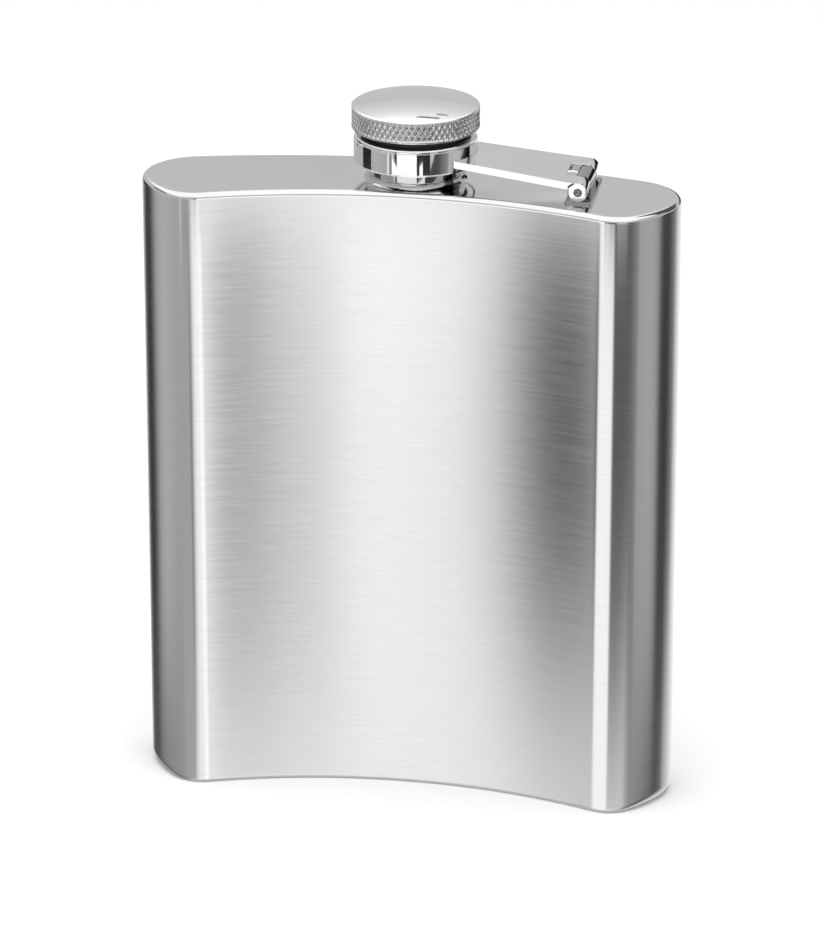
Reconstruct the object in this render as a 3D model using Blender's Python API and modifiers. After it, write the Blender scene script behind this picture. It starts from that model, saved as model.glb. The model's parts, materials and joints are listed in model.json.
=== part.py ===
"""Hip flask: a pocket-shaped welded steel body with a captive screw cap on a swinging arm.

The flask stands on its flat bottom plate. +Z is up, the hollow front faces -Y, and the hinge of the
arm is on the +X side. The origin is under the middle of the flask, on the surface it stands on.

The flask, the closure and the hinge are each modelled round their own empty:
  flask_axis  stands at the neck's axis, on the level of the bottom plate,
  seat_axis   stands on the top plate at the neck's axis; the collar and the cap turn round it,
  hinge_axis  stands in the middle of the hinge pin, which lies along its Y.
"""
import math

import bmesh
import bpy
from mathutils import Matrix, Vector

MM = 0.001

# ---- driving dimensions ---------------------------------------------------------------------------
BODY_HEIGHT = 109.5 * MM        # bottom plate to top plate
MID_THICKNESS = 20.24 * MM      # front to back in the middle of the flask
FRONT_MID_Y = -10.17 * MM       # front face in the middle, from the neck's axis
FRONT_HOLLOW_R = 93.0 * MM      # the hollow face that lies against the hip
BACK_R = 141.0 * MM             # the bulging face
END_R = 20.5 * MM               # the narrow sides
END_CENTRE_X = 27.425 * MM
FRONT_CORNER_R = 7.0 * MM
BACK_CORNER_R = 10.0 * MM
SHEET = 0.6 * MM                # steel sheet of the sleeve and the two plates
RIM_R = 0.9 * MM                # rounded rim of the two plates
RIM_STEPS = 4
SKIRT = 1.2 * MM                # height of the two plates' turned edge
WELD_GAP = 0.3 * MM             # clearance between pieces that are welded or rest on each other

NECK_R = 8.4 * MM
NECK_BAND_TOP = 3.0 * MM        # heights of the closure count from the top plate
NECK_SHOULDER = 0.3 * MM        # chamfer above the band
NECK_FOOT_R = 8.9 * MM
NECK_FOOT_TOP = 0.9 * MM
NECK_SPIGOT_R = 7.2 * MM
NECK_SPIGOT_DEPTH = 1.6 * MM
NECK_THREAD_CREST_R = 7.7 * MM
NECK_BORE_R = 6.7 * MM
NECK_TOP = 9.0 * MM

THREAD_PITCH = 1.25 * MM
THREAD_START = 6.4 * MM
THREAD_TURNS = 1.5
THREAD_STEPS = 36               # steps of a thread's ridge in one turn
THREAD_ROOT_OVERLAP = 0.15 * MM
THREAD_FOOT_WIDTH = 0.9         # of the pitch
THREAD_CREST_WIDTH = 0.24       # of the pitch

COLLAR_R = 10.6 * MM
COLLAR_BORE_R = 10.15 * MM
COLLAR_HOLE_R = 9.45 * MM
COLLAR_BOTTOM = 3.0 * MM
COLLAR_TOP = 7.7 * MM
COLLAR_EDGE = 0.5 * MM          # chamfer round its top
COLLAR_LID = 0.45 * MM

CAP_R = 11.0 * MM
CAP_BOTTOM = 8.7 * MM
CAP_RIM_TOP = 12.7 * MM
CAP_CROWN_TOP = 13.8 * MM
CAP_BORE_R = 9.4 * MM
CAP_CEILING = 11.3 * MM
CAP_EDGE_R = 0.5 * MM
CAP_EDGE_STEPS = 4
CROWN_STEPS = 6

INSERT_R = 9.2 * MM
INSERT_BORE_R = 8.8 * MM
INSERT_THREAD_CREST_R = 8.35 * MM
INSERT_BOTTOM = 3.15 * MM
INSERT_TOP = 11.0 * MM
INSERT_FLANGE_R = 9.9 * MM
INSERT_FLANGE_TOP = 3.55 * MM

GASKET_R = 8.3 * MM
GASKET_BOTTOM = 9.3 * MM
WASHER_BORE_R = 9.4 * MM
WASHER_R = 9.95 * MM
WASHER_BOTTOM = 3.75 * MM
WASHER_TOP = 4.05 * MM

HINGE_X = 29.7 * MM             # the pin, from the neck's axis
HINGE_Y = -3.65 * MM            # middle of the pin: the body curves forward there
PIN_HEIGHT = 2.14 * MM
PIN_R = 0.7 * MM
PIN_HOLE_R = 0.8 * MM
PIN_RECESS = 0.1 * MM
KNUCKLE_R = 1.6 * MM
ARM_WIDTH = 14.6 * MM           # at the pin
ARM_ROOT_WIDTH = 12.1 * MM      # at its other end, inside the collar's hollow
ARM_ROOT_X = 6.0 * MM
ARM_ROOT_Y = -0.8 * MM
ARM_TAPER_END = 2.0 * MM        # the taper ends this far before the pin
ARM_SHEET = 1.3 * MM
ARM_SLOPE = math.radians(4.0)
SLOT_WIDTH = 6.4 * MM
SLOT_LENGTH = 2.65 * MM         # slot's closed end, from the pin
BASE_WIDTH = 5.8 * MM
FOOT_LENGTH = 2.4 * MM
FOOT_BOTTOM = 0.3 * MM
FOOT_TOP = 1.1 * MM

TURN_STEPS = 48
SMALL_TURN_STEPS = 24
ARC_STEP = math.radians(7.0)    # largest turn between two points of a small arc
LONG_ARC_STEPS = 10
MERGE = 0.00001

COLOURS = {                     # colour, metallic, roughness
    "brushed_steel": ((0.62, 0.62, 0.62), 1.0, 0.32),
    "polished_steel": ((0.70, 0.70, 0.70), 1.0, 0.12),
    "chrome": ((0.78, 0.78, 0.78), 1.0, 0.06),
    "pin_steel": ((0.30, 0.30, 0.30), 1.0, 0.35),
    "black_nylon": ((0.02, 0.02, 0.02), 0.0, 0.45),
    "silicone": ((0.75, 0.74, 0.70), 0.0, 0.60),
}


# ---- geometry helpers -----------------------------------------------------------------------------
def arc(centre, radius, start, end, steps=None):
    """Return points on an arc from angle start to angle end, both included."""
    if steps is None:
        steps = max(2, math.ceil(abs(end - start) / ARC_STEP))
    points = []
    for index in range(steps + 1):
        angle = start + (end - start) * index / steps
        points.append(centre + radius * Vector((math.cos(angle), math.sin(angle))))
    return points


def angle_of(vector):
    """Return the direction of a plane vector as an angle."""
    return math.atan2(vector.y, vector.x)


def circles_meet(centre_a, radius_a, centre_b, radius_b, side):
    """Return where two circles cross, on the left (side +1) or right (-1) of the way from a to b."""
    across = centre_b - centre_a
    along = (radius_a ** 2 - radius_b ** 2 + across.length_squared) / (2 * across.length)
    height = math.sqrt(radius_a ** 2 - along ** 2)
    direction = across.normalized()
    normal = Vector((-direction.y, direction.x))
    return centre_a + along * direction + side * height * normal


def outline_centres():
    """Return the centres of the outline's arcs: front hollow, front corner, end, back corner, back."""
    front = Vector((0.0, FRONT_MID_Y - FRONT_HOLLOW_R))
    back = Vector((0.0, FRONT_MID_Y + MID_THICKNESS - BACK_R))
    end = Vector((END_CENTRE_X, 0.0))
    front_corner = circles_meet(front, FRONT_HOLLOW_R + FRONT_CORNER_R, end, END_R - FRONT_CORNER_R, -1)
    back_corner = circles_meet(back, BACK_R - BACK_CORNER_R, end, END_R - BACK_CORNER_R, -1)
    return front, front_corner, end, back_corner, back


def body_outline():
    """Return the flask's outline from above, counter-clockwise, as tangent arcs."""
    front, front_corner, end, back_corner, back = outline_centres()
    right = []
    hollow_end = angle_of(front_corner - front)
    right += arc(front, FRONT_HOLLOW_R, math.pi / 2, hollow_end, LONG_ARC_STEPS)
    corner_start = angle_of(front - front_corner)
    corner_end = angle_of(front_corner - end)
    right += arc(front_corner, FRONT_CORNER_R, corner_start, corner_end)[1:]
    side_end = angle_of(back_corner - end)
    right += arc(end, END_R, corner_end, side_end)[1:]
    bulge_start = angle_of(back_corner - back)
    right += arc(back_corner, BACK_CORNER_R, side_end, bulge_start)[1:]
    right += arc(back, BACK_R, bulge_start, math.pi / 2, LONG_ARC_STEPS)[1:]
    left = [Vector((-point.x, point.y)) for point in reversed(right[1:-1])]
    return right + left


def neck_axis_y():
    """Return the neck's place along Y that puts the middle of the flask's depth on the origin.

    The front corners reach furthest forward, and the cap reaches a little past the back face.
    """
    front_corner = outline_centres()[1]
    lowest = front_corner.y - FRONT_CORNER_R
    highest = max(FRONT_MID_Y + MID_THICKNESS, CAP_R)
    return -(lowest + highest) / 2


# ---- scene helpers --------------------------------------------------------------------------------
def clear_scene():
    """Remove every object of the scene."""
    for item in list(bpy.data.objects):
        bpy.data.objects.remove(item, do_unlink=True)


def new_collection(name):
    """Return a new collection linked to the scene."""
    collection = bpy.data.collections.new(name)
    bpy.context.scene.collection.children.link(collection)
    return collection


def material(name):
    """Return the Principled material of that name, made on first use."""
    if name in bpy.data.materials:
        return bpy.data.materials[name]
    colour, metallic, roughness = COLOURS[name]
    made = bpy.data.materials.new(name)
    made.use_nodes = True
    shader = made.node_tree.nodes["Principled BSDF"]
    shader.inputs["Base Color"].default_value = (*colour, 1.0)
    shader.inputs["Metallic"].default_value = metallic
    shader.inputs["Roughness"].default_value = roughness
    return made


def add_empty(name, location, parent=None):
    """Add an empty that other objects are placed on."""
    empty = bpy.data.objects.new(name, None)
    empty.empty_display_size = 0.01
    empty.location = location
    empty.parent = parent
    parts.objects.link(empty)
    return empty


def add_mesh(name, shape, parent, finish=None, angle=30.0):
    """Turn a bmesh into an object on an empty; without a finish it is a cutter."""
    mesh = bpy.data.meshes.new(name)
    bmesh.ops.recalc_face_normals(shape, faces=shape.faces)
    shape.to_mesh(mesh)
    shape.free()
    made = bpy.data.objects.new(name, mesh)
    made.parent = parent
    if finish:
        mesh.materials.append(material(finish))
        mesh.shade_smooth()
        mesh.set_sharp_from_angle(angle=math.radians(angle))
        parts.objects.link(made)
    else:
        made.hide_render = True
        made.display_type = "WIRE"
        cutters.objects.link(made)
    return made


def cut(target, cutter):
    """Cut one object out of another."""
    boolean = target.modifiers.new("cut_" + cutter.name, "BOOLEAN")
    boolean.operation = "DIFFERENCE"
    boolean.object = cutter
    boolean.solver = "EXACT"


def trim(target, limits):
    """Keep only the part of an object that lies inside a guide."""
    boolean = target.modifiers.new("trim_" + limits.name, "BOOLEAN")
    boolean.operation = "INTERSECT"
    boolean.object = limits
    boolean.solver = "EXACT"


def join(target, piece):
    """Weld a guide object onto a piece, so that the two are one body."""
    boolean = target.modifiers.new("join_" + piece.name, "BOOLEAN")
    boolean.operation = "UNION"
    boolean.object = piece
    boolean.solver = "EXACT"


def cylinder(radius, low, high, steps=TURN_STEPS):
    """Return an upright cylinder as a bmesh."""
    shape = bmesh.new()
    middle = Matrix.Translation((0.0, 0.0, (low + high) / 2))
    bmesh.ops.create_cone(shape, cap_ends=True, segments=steps, radius1=radius, radius2=radius,
                          depth=high - low, matrix=middle)
    return shape


def prism(outline, low, high):
    """Return an upright prism over a closed outline as a bmesh."""
    shape = bmesh.new()
    corners = [shape.verts.new((point.x, point.y, low)) for point in outline]
    base = shape.faces.new(corners)
    raised = bmesh.ops.extrude_face_region(shape, geom=[base])
    top = [item for item in raised["geom"] if isinstance(item, bmesh.types.BMVert)]
    bmesh.ops.translate(shape, verts=top, vec=(0.0, 0.0, high - low))
    return shape


def remove_caps(shape, *heights):
    """Delete the flat faces of a prism that lie at the given heights."""
    caps = []
    for face in shape.faces:
        level = face.calc_center_median().z
        if abs(face.normal.z) > 0.9 and any(abs(level - height) < MERGE for height in heights):
            caps.append(face)
    bmesh.ops.delete(shape, geom=caps, context="FACES_ONLY")


def add_turned(name, profile, parent, finish, steps=TURN_STEPS, ring=True):
    """Turn a profile of (radius, height) points round the Z axis.

    The profile runs down its outer side. A ring's profile is closed; any other starts and ends on
    the axis.
    """
    mesh = bpy.data.meshes.new(name)
    points = [(radius, 0.0, height) for radius, height in profile]
    edges = [(index, index + 1) for index in range(len(points) - 1)]
    if ring:
        edges.append((len(points) - 1, 0))
    mesh.from_pydata(points, edges, [])
    mesh.materials.append(material(finish))
    made = bpy.data.objects.new(name, mesh)
    made.parent = parent
    parts.objects.link(made)
    screw = made.modifiers.new("turn", "SCREW")
    screw.axis = "Z"
    screw.steps = steps
    screw.render_steps = steps
    screw.use_merge_vertices = True
    screw.merge_threshold = MERGE
    screw.use_smooth_shade = True
    return made


def thread_ridge(root_r, crest_r, start, parent, name):
    """Add a guide: a helical ridge of the closure's thread, standing on a wall at root_r."""
    outward = 1.0 if crest_r > root_r else -1.0
    buried = root_r - outward * THREAD_ROOT_OVERLAP
    half_foot = THREAD_FOOT_WIDTH * THREAD_PITCH / 2
    half_crest = THREAD_CREST_WIDTH * THREAD_PITCH / 2
    section = [(buried, -half_foot), (crest_r, -half_crest), (crest_r, half_crest), (buried, half_foot)]
    shape = bmesh.new()
    corners = [shape.verts.new((radius, 0.0, start + height)) for radius, height in section]
    face = shape.faces.new(corners)
    steps = round(THREAD_TURNS * THREAD_STEPS)
    bmesh.ops.spin(shape, geom=[face], axis=(0.0, 0.0, 1.0), cent=(0.0, 0.0, 0.0), steps=steps,
                   angle=THREAD_TURNS * 2 * math.pi, dvec=(0.0, 0.0, THREAD_PITCH / THREAD_STEPS))
    return add_mesh(name, shape, parent)


def add_side_profile(name, outline, hole, width, parent, finish):
    """Extrude a hinge leaf's side view along the pin, with the pin's hole through it.

    The outline and the hole are (x, z) points about the pin. A flat curve gives the plate, and its
    caps are then welded so that it can be cut.
    """
    curve = bpy.data.curves.new(name + "_outline", "CURVE")
    curve.dimensions = "2D"
    curve.fill_mode = "BOTH"
    curve.extrude = width / 2
    for loop in (outline, hole):
        spline = curve.splines.new("POLY")
        spline.points.add(len(loop) - 1)
        for point, place in zip(spline.points, loop):
            point.co = (place.x, place.y, 0.0, 1.0)
        spline.use_cyclic_u = True
    flat = bpy.data.objects.new(name + "_flat", curve)
    parts.objects.link(flat)
    evaluated = flat.evaluated_get(bpy.context.evaluated_depsgraph_get())
    mesh = bpy.data.meshes.new_from_object(evaluated)
    bpy.data.objects.remove(flat, do_unlink=True)
    shape = bmesh.new()
    shape.from_mesh(mesh)
    bpy.data.meshes.remove(mesh)
    bmesh.ops.remove_doubles(shape, verts=shape.verts, dist=MERGE)
    bmesh.ops.rotate(shape, verts=shape.verts, matrix=Matrix.Rotation(math.pi / 2, 3, "X"))
    return add_mesh(name, shape, parent, finish)


# ---- the body -------------------------------------------------------------------------------------
def add_sleeve(parent):
    """The wrapped wall of the flask, open at both ends, welded to the two plates."""
    low = SKIRT + WELD_GAP
    high = BODY_HEIGHT - SKIRT - WELD_GAP
    shape = prism(body_outline(), low, high)
    remove_caps(shape, low, high)
    sleeve = add_mesh("body_sleeve", shape, parent, "brushed_steel")
    add_thickness(sleeve)
    return sleeve


def add_thickness(shell):
    """Give an open shell the sheet's thickness, inwards."""
    solidify = shell.modifiers.new("sheet", "SOLIDIFY")
    solidify.thickness = SHEET
    solidify.offset = -1.0
    solidify.use_even_offset = True


def add_end_plate(name, low, high, open_height, parent, finish):
    """A pressed end plate: a flat face, a rounded rim and a short turned edge."""
    shape = prism(body_outline(), low, high)
    remove_caps(shape, open_height)
    plate = add_mesh(name, shape, parent, finish)
    bevel = plate.modifiers.new("rim", "BEVEL")
    bevel.width = RIM_R
    bevel.segments = RIM_STEPS
    bevel.limit_method = "ANGLE"
    bevel.angle_limit = math.radians(60)
    add_thickness(plate)
    return plate


def add_body(parent):
    """The welded body: sleeve, top plate with the neck's hole, and bottom plate."""
    add_sleeve(parent)
    top_low = BODY_HEIGHT - SKIRT
    top = add_end_plate("top_plate", top_low, BODY_HEIGHT, top_low, parent, "polished_steel")
    add_end_plate("bottom_plate", 0.0, SKIRT, SKIRT, parent, "brushed_steel")
    hole_r = NECK_SPIGOT_R + WELD_GAP
    hole = cylinder(hole_r, BODY_HEIGHT - 2 * SHEET, BODY_HEIGHT + SHEET)
    cut(top, add_mesh("neck_hole", hole, parent))


# ---- the closure ----------------------------------------------------------------------------------
def add_neck(parent):
    """The neck: a spigot through the top plate, a welded foot, a plain band and the thread."""
    profile = [
        (NECK_BORE_R, NECK_TOP),
        (NECK_SPIGOT_R, NECK_TOP),
        (NECK_SPIGOT_R, NECK_BAND_TOP),
        (NECK_R, NECK_BAND_TOP - NECK_SHOULDER),
        (NECK_R, NECK_FOOT_TOP),
        (NECK_FOOT_R, WELD_GAP),
        (NECK_SPIGOT_R, WELD_GAP),
        (NECK_SPIGOT_R, -NECK_SPIGOT_DEPTH),
        (NECK_BORE_R, -NECK_SPIGOT_DEPTH),
    ]
    neck = add_turned("neck", profile, parent, "chrome")
    join(neck, thread_ridge(NECK_SPIGOT_R, NECK_THREAD_CREST_R, THREAD_START, parent, "neck_thread"))


def add_collar(parent):
    """The collar at the end of the arm, which keeps the cap's flange inside it."""
    profile = [
        (COLLAR_HOLE_R, COLLAR_TOP),
        (COLLAR_R - COLLAR_EDGE, COLLAR_TOP),
        (COLLAR_R, COLLAR_TOP - COLLAR_EDGE),
        (COLLAR_R, COLLAR_BOTTOM),
        (COLLAR_BORE_R, COLLAR_BOTTOM),
        (COLLAR_BORE_R, COLLAR_TOP - COLLAR_LID),
        (COLLAR_HOLE_R, COLLAR_TOP - COLLAR_LID),
    ]
    add_turned("collar", profile, parent, "chrome")


def add_cap(parent):
    """The screw cap: outer shell, black threaded insert, gasket, and the washer it turns on."""
    rise = CAP_CROWN_TOP - CAP_RIM_TOP
    crown_r = (CAP_R ** 2 + rise ** 2) / (2 * rise)
    crown_centre = Vector((0.0, CAP_CROWN_TOP - crown_r))
    rim_angle = angle_of(Vector((CAP_R, CAP_RIM_TOP)) - crown_centre)
    crown = arc(crown_centre, crown_r, math.pi / 2, rim_angle, CROWN_STEPS)
    edge_centre = Vector((CAP_R - CAP_EDGE_R, CAP_BOTTOM + CAP_EDGE_R))
    lower_edge = arc(edge_centre, CAP_EDGE_R, 0.0, -math.pi / 2, CAP_EDGE_STEPS)
    shell = [tuple(point) for point in crown + lower_edge]
    shell += [(CAP_BORE_R, CAP_BOTTOM), (CAP_BORE_R, CAP_CEILING), (0.0, CAP_CEILING)]
    add_turned("cap_shell", shell, parent, "chrome", ring=False)

    tube = [
        (INSERT_BORE_R, INSERT_TOP),
        (INSERT_R, INSERT_TOP),
        (INSERT_R, INSERT_FLANGE_TOP),
        (INSERT_FLANGE_R, INSERT_FLANGE_TOP),
        (INSERT_FLANGE_R, INSERT_BOTTOM),
        (INSERT_BORE_R, INSERT_BOTTOM),
    ]
    insert = add_turned("cap_insert", tube, parent, "black_nylon")
    start = THREAD_START + THREAD_PITCH / 2
    join(insert, thread_ridge(INSERT_BORE_R, INSERT_THREAD_CREST_R, start, parent, "cap_thread"))

    disc = [(0.0, INSERT_TOP), (GASKET_R, INSERT_TOP), (GASKET_R, GASKET_BOTTOM), (0.0, GASKET_BOTTOM)]
    add_turned("cap_gasket", disc, parent, "silicone", ring=False)

    washer = [
        (WASHER_BORE_R, WASHER_TOP),
        (WASHER_R, WASHER_TOP),
        (WASHER_R, WASHER_BOTTOM),
        (WASHER_BORE_R, WASHER_BOTTOM),
    ]
    add_turned("swivel_washer", washer, parent, "pin_steel")


# ---- the hinge ------------------------------------------------------------------------------------
def pin_hole():
    """Return the hole for the pin, about the pin."""
    return arc(Vector((0.0, 0.0)), PIN_HOLE_R, 0.0, -2 * math.pi, SMALL_TURN_STEPS)[:-1]


def add_hinge_base(parent):
    """The leaf welded to the top plate: a foot under the arm that curls up into one knuckle."""
    foot_low = FOOT_BOTTOM - PIN_HEIGHT
    foot_high = FOOT_TOP - PIN_HEIGHT
    meets_foot = math.pi - math.asin(foot_high / KNUCKLE_R)
    outline = [Vector((-FOOT_LENGTH, foot_low)), Vector((KNUCKLE_R, foot_low))]
    outline += arc(Vector((0.0, 0.0)), KNUCKLE_R, 0.0, meets_foot)
    outline += [Vector((-FOOT_LENGTH, foot_high))]
    add_side_profile("hinge_base", outline, pin_hole(), BASE_WIDTH, parent, "chrome")


def add_arm(hinge, seat):
    """The arm: a sloping plate hollowed round the collar, forked into two knuckles at the pin.

    From above it widens towards the pin, and leans forward to meet the middle of the curved body.
    """
    slope = math.tan(ARM_SLOPE)
    top_over_pin = KNUCKLE_R / math.cos(ARM_SLOPE)
    inner_end = HINGE_X - ARM_ROOT_X
    under_over_pin = top_over_pin - ARM_SHEET
    meets_under = math.pi - math.asin((under_over_pin + slope * KNUCKLE_R) / KNUCKLE_R)
    outline = [Vector((-inner_end, under_over_pin + slope * inner_end))]
    outline += arc(Vector((0.0, 0.0)), KNUCKLE_R, meets_under - 2 * math.pi, math.pi / 2 - ARM_SLOPE)
    outline += [Vector((-inner_end, top_over_pin + slope * inner_end))]
    arm = add_side_profile("lid_arm", outline, pin_hole(), 2 * ARM_WIDTH, hinge, "chrome")

    half_root = ARM_ROOT_WIDTH / 2
    half_end = ARM_WIDTH / 2
    taper_end = HINGE_X - ARM_TAPER_END
    outer_end = HINGE_X + 2 * KNUCKLE_R
    plan = [
        Vector((ARM_ROOT_X, ARM_ROOT_Y - half_root)),
        Vector((taper_end, HINGE_Y - half_end)),
        Vector((outer_end, HINGE_Y - half_end)),
        Vector((outer_end, HINGE_Y + half_end)),
        Vector((taper_end, HINGE_Y + half_end)),
        Vector((ARM_ROOT_X, ARM_ROOT_Y + half_root)),
    ]
    trim(arm, add_mesh("arm_plan", prism(plan, 0.0, CAP_BOTTOM), seat))
    round_collar = cylinder(COLLAR_R + WELD_GAP, 0.0, CAP_BOTTOM)
    cut(arm, add_mesh("collar_hollow", round_collar, seat))
    slot = bmesh.new()
    far_side = 2 * KNUCKLE_R
    size = Matrix.Diagonal((SLOT_LENGTH + far_side, SLOT_WIDTH, 4 * KNUCKLE_R, 1.0))
    place = Matrix.Translation(((far_side - SLOT_LENGTH) / 2, 0.0, 0.0))
    bmesh.ops.create_cube(slot, size=1.0, matrix=place @ size)
    cut(arm, add_mesh("knuckle_slot", slot, hinge))


def add_pin(parent):
    """The hinge pin, set a little into the two outer knuckles."""
    length = ARM_WIDTH - 2 * PIN_RECESS
    shape = cylinder(PIN_R, -length / 2, length / 2, SMALL_TURN_STEPS)
    pin = add_mesh("hinge_pin", shape, parent, "pin_steel")
    pin.rotation_euler = (math.pi / 2, 0.0, 0.0)


# ---- assembly -------------------------------------------------------------------------------------
clear_scene()
parts = new_collection("hip_flask")
cutters = new_collection("hip_flask_cutters")

flask_axis = add_empty("flask_axis", (0.0, neck_axis_y(), 0.0))
seat_axis = add_empty("seat_axis", (0.0, 0.0, BODY_HEIGHT), flask_axis)
hinge_axis = add_empty("hinge_axis", (HINGE_X, HINGE_Y, PIN_HEIGHT), seat_axis)

add_body(flask_axis)
add_neck(seat_axis)
add_collar(seat_axis)
add_cap(seat_axis)
add_hinge_base(hinge_axis)
add_arm(hinge_axis, seat_axis)
add_pin(hinge_axis)
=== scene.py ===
import json
import math

import bmesh
import bpy
from mathutils import Matrix, Vector


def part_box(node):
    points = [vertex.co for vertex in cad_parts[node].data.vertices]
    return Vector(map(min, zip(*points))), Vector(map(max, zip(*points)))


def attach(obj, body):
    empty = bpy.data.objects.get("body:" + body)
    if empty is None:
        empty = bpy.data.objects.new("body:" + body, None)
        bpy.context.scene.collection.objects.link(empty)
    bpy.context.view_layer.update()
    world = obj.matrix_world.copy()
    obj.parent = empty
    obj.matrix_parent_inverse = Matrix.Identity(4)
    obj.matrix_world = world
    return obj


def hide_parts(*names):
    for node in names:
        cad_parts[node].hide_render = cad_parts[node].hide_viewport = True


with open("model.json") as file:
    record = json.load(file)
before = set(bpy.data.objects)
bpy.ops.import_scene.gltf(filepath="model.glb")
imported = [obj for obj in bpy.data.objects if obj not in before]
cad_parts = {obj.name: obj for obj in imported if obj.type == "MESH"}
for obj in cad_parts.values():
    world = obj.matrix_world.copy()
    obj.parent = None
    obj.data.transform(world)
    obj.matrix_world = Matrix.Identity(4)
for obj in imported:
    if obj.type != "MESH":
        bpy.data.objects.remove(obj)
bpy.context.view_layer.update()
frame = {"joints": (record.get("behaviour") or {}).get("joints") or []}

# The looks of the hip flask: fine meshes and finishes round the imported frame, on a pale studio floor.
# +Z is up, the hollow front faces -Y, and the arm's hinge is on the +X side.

MM = 0.001

# ---- places taken from the frame ------------------------------------------------------------------
SEAT_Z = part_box("top_plate")[1].z           # the closure stands on this level


def turned_size(node):
    """Return a turned node's outer radius, and its lowest and highest level above the seat."""
    low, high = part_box(node)
    return (high.x - low.x) / 2, low.z - SEAT_Z, high.z - SEAT_Z


NECK_AXIS = (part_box("neck")[0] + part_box("neck")[1]) / 2
AXIS_X = NECK_AXIS.x
AXIS_Y = NECK_AXIS.y
SWING = [joint for joint in frame["joints"] if joint["name"] == "arm_swing"][0]
PIN = Vector(SWING["pos_m"])
COLLAR_R, COLLAR_LOW, COLLAR_HIGH = turned_size("collar")
CAP_R, CAP_LOW, CAP_HIGH = turned_size("cap_shell")
_, NECK_LOW, NECK_HIGH = turned_size("neck")
PIN_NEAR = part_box("hinge_pin")[0].y
PIN_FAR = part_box("hinge_pin")[1].y
PIN_R = (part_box("hinge_pin")[1].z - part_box("hinge_pin")[0].z) / 2
KNUCKLE_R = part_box("lid_arm")[1].x - PIN.x
BASE_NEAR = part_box("hinge_base")[0].y
BASE_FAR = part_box("hinge_base")[1].y
ARM_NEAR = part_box("lid_arm")[0].y
ARM_FAR_AT_PIN = PIN_FAR + (PIN_NEAR - ARM_NEAR)

# ---- driving dimensions of the body ---------------------------------------------------------------
FRONT_MID_Y = -10.17 * MM                   # from the neck's axis
BACK_MID_Y = 10.07 * MM
FRONT_HOLLOW_R = 93.0 * MM
BACK_R = 141.0 * MM
END_R = 20.5 * MM
END_CENTRE_X = 27.425 * MM
FRONT_CORNER_R = 7.0 * MM
BACK_CORNER_R = 10.0 * MM
SHEET = 0.6 * MM
RIM_R = 0.95 * MM
FOOT_RIM_R = 0.9 * MM
END_RIM_R = 2.3 * MM                        # the bottom edge is rounder at the narrow sides
END_RIM_FROM = 36.0 * MM
END_RIM_TO = 46.0 * MM
SEAM_Z = 1.0 * MM                           # the plates are welded to the sleeve this far from the ends
SEAM_GROOVE = 0.02 * MM
SIDE_SEAM_DEPTH = 0.06 * MM
SIDE_SEAM_HALF = 0.22 * MM
SLEEVE_FOOT_STEP = 0.15 * MM                # rings follow the bottom edge's rounding this closely
SLEEVE_FOOT_STEPS = 10
RIM_STEPS = 14
RIM_CROWDING = 1.8                          # rings crowd towards the rim's crest by this power

# ---- driving dimensions of the closure, from the seat up ------------------------------------------
NECK_R = 8.4 * MM
NECK_BAND_TOP = 2.95 * MM
NECK_ROOT_R = 7.2 * MM
NECK_CREST_R = 7.7 * MM
NECK_BORE_R = 6.7 * MM
WELD_FOOT_R = 8.9 * MM
WELD_FOOT_TOP = 0.85 * MM
BAND_GROOVE_Z = 1.12 * MM
BAND_GROOVE_HALF = 0.1 * MM
BAND_GROOVE_DEPTH = 0.12 * MM
THREAD_PITCH = 1.25 * MM
THREAD_LOW = 5.9 * MM
THREAD_HIGH = 8.5 * MM
THREAD_STEPS = 40
THREAD_FADE = 0.35                          # of a pitch, at both ends of a thread
COLLAR_BORE_R = 10.15 * MM
COLLAR_HOLE_R = 9.45 * MM
COLLAR_LID = 0.45 * MM
COLLAR_STEP = 0.12 * MM                     # the rolled upper edge stands back by this
CAP_BORE_R = 9.4 * MM
CAP_CEILING = 11.3 * MM
CAP_RIM = 12.7 * MM
CROWN_LIP = 0.12 * MM
CROWN_STEPS = 24
KNURL_COUNT = 69                            # diamonds round the cap
KNURL_DEPTH = 0.3 * MM
KNURL_ANGLE = math.radians(30)
KNURL_FADE = 0.2 * MM
KNURL_ROWS = 26
KNURL_COLUMNS = 8                           # round the cap, for each diamond
INSERT_R = 9.2 * MM
INSERT_BORE_R = 8.8 * MM
INSERT_CREST_R = 8.35 * MM
INSERT_FLANGE = 0.4 * MM
GASKET_R = 8.3 * MM
GASKET_GROOVE = 0.18 * MM                   # where the neck's edge has pressed it

# ---- driving dimensions of the hinge --------------------------------------------------------------
ARM_SHEET = 1.3 * MM
ARM_SLOPE = math.radians(4.0)
ARM_ROOT_X = 6.0 * MM
ARM_ROOT_HALF = 6.05 * MM
ARM_ROOT_Y = -0.8 * MM
ARM_TAPER_END = 2.0 * MM
SLOT_HALF = 3.2 * MM
SLOT_LENGTH = 2.65 * MM
ARM_EDGE = 0.26 * MM
COLLAR_SEAM = 0.02 * MM                     # between the collar and the arm brazed to it
PIN_HOLE_R = 0.74 * MM
PIN_DISH_R = 0.45 * MM
BASE_EDGE = 0.12 * MM
BASE_INNER = 2.4 * MM                       # the base leaf reaches this far inward of the pin
BASE_LEAF = 1.1 * MM
FOOT_TOP = 0.42 * MM
FOOT_INNER = 2.3 * MM
FOOT_OUTER = 2.1 * MM
FOOT_INSET = 0.2 * MM

# ---- camera ---------------------------------------------------------------------------------------
CAMERA_AZIMUTH = math.radians(10.32)
CAMERA_ELEVATION = math.radians(21.19)
CAMERA_DISTANCE = 930.5 * MM
CAMERA_LENS = 204.9
CAMERA_TARGET = Vector((-1.17 * MM, AXIS_Y, 55.82 * MM))

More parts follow.
